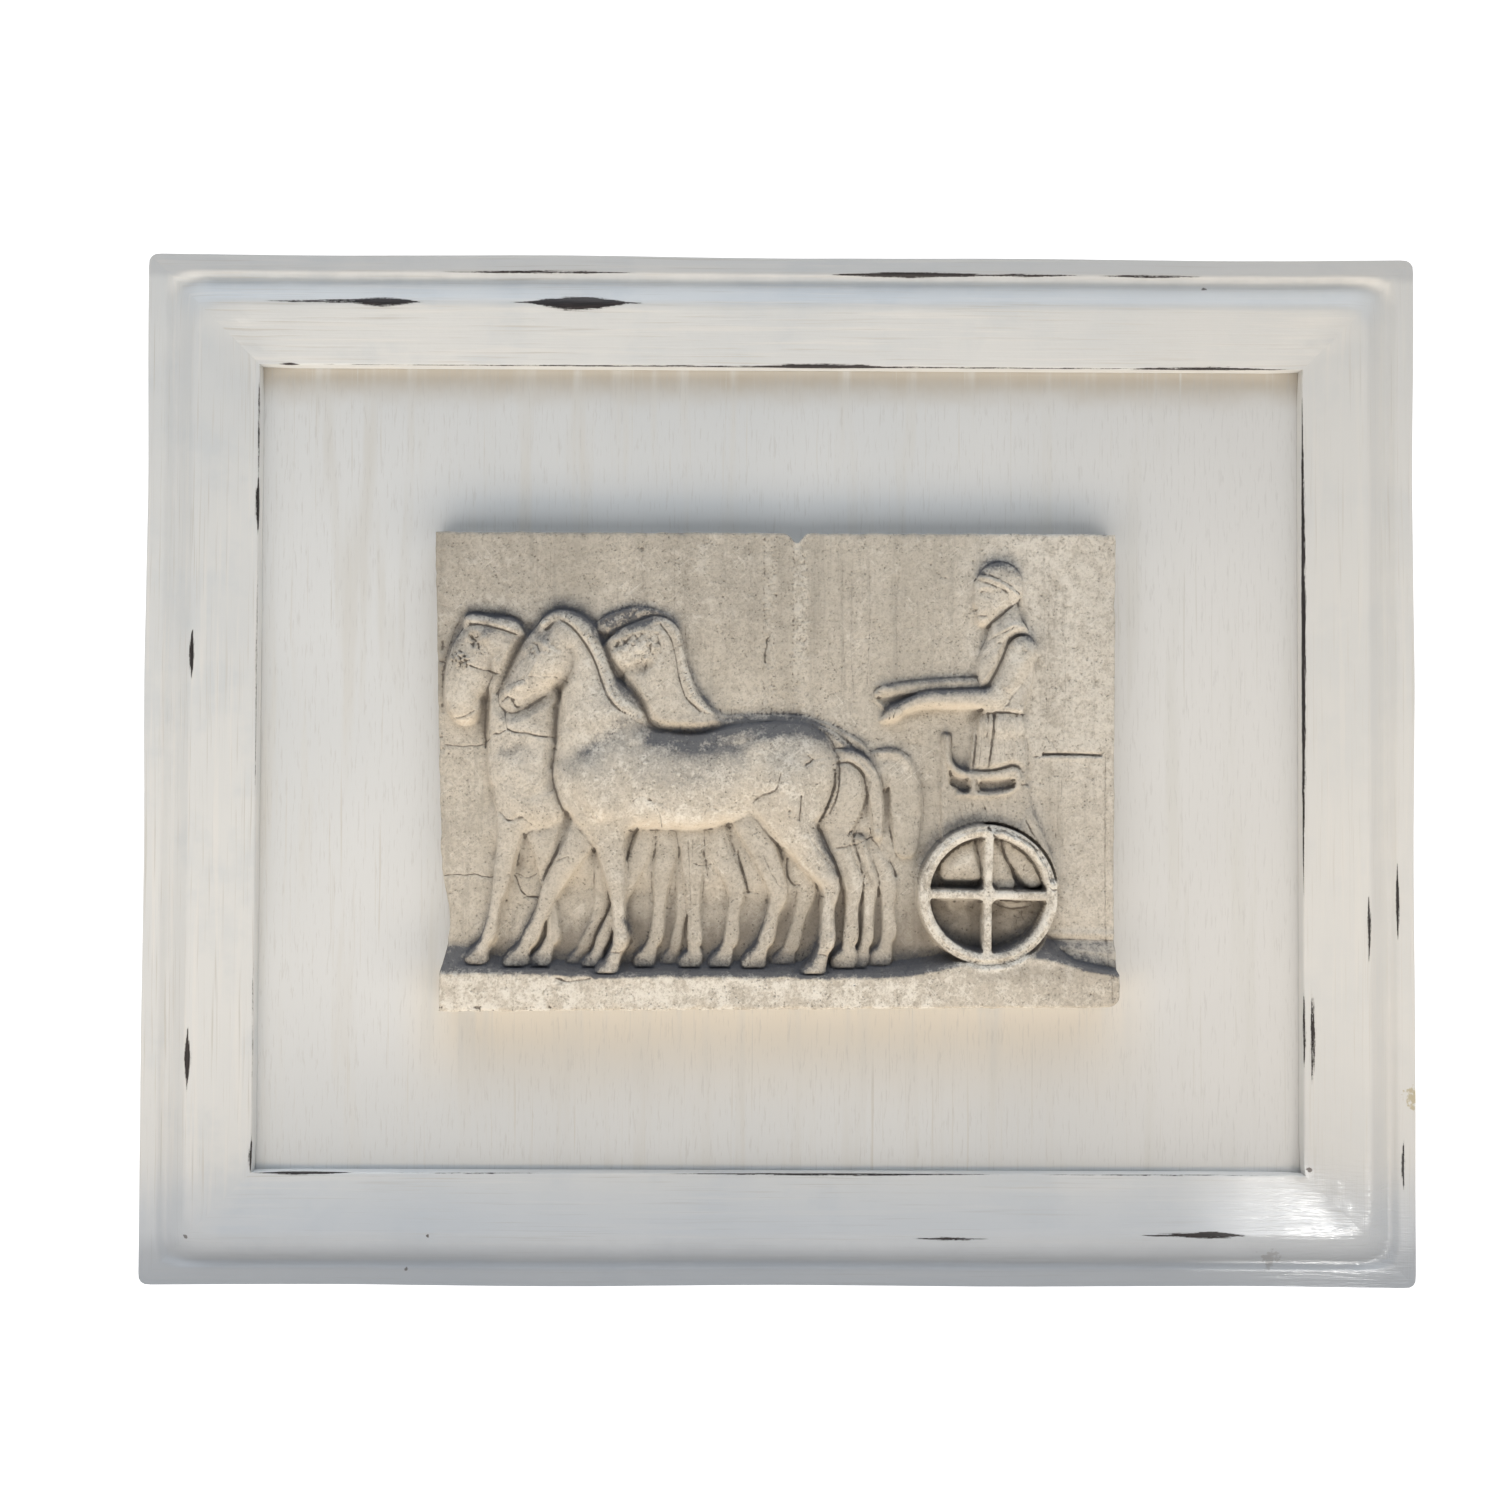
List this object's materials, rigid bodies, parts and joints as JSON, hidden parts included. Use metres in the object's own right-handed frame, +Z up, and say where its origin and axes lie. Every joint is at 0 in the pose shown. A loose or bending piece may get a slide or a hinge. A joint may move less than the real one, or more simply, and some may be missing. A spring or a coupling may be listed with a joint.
{
  "type": "framed plaster relief plaque",
  "caption": "Cast plaster relief of a horse team, a driver and a chariot, mounted on a painted board inside a wide, white-painted, rubbed-back wooden frame that hangs on a wall.",
  "frame": {"origin": "on the wall, on the flat back of the top rail at mid-width, 24 mm below the frame's top edge, where the frame hangs", "axes": "+X to the right as seen from the front, +Y into the wall (the front faces -Y), +Z up"},
  "size_m": [0.61, 0.0465, 0.494],
  "materials": {
    "white_paint": "brushed white satin paint on wood, rubbed through to dark wood along the edges",
    "board_paint": "matt off-white paint with fine upright brush marks",
    "toned_plaster": "matt cast plaster, toned cream, with grey-brown grime in its hollows and hairline cracks"
  },
  "bodies": {
    "root": {"frame_top_rail": "white_paint", "frame_bottom_rail": "white_paint", "frame_left_rail": "white_paint", "frame_right_rail": "white_paint", "backing_board": "board_paint", "plaster_plaque": "toned_plaster"}
  },
  "joints": []
}
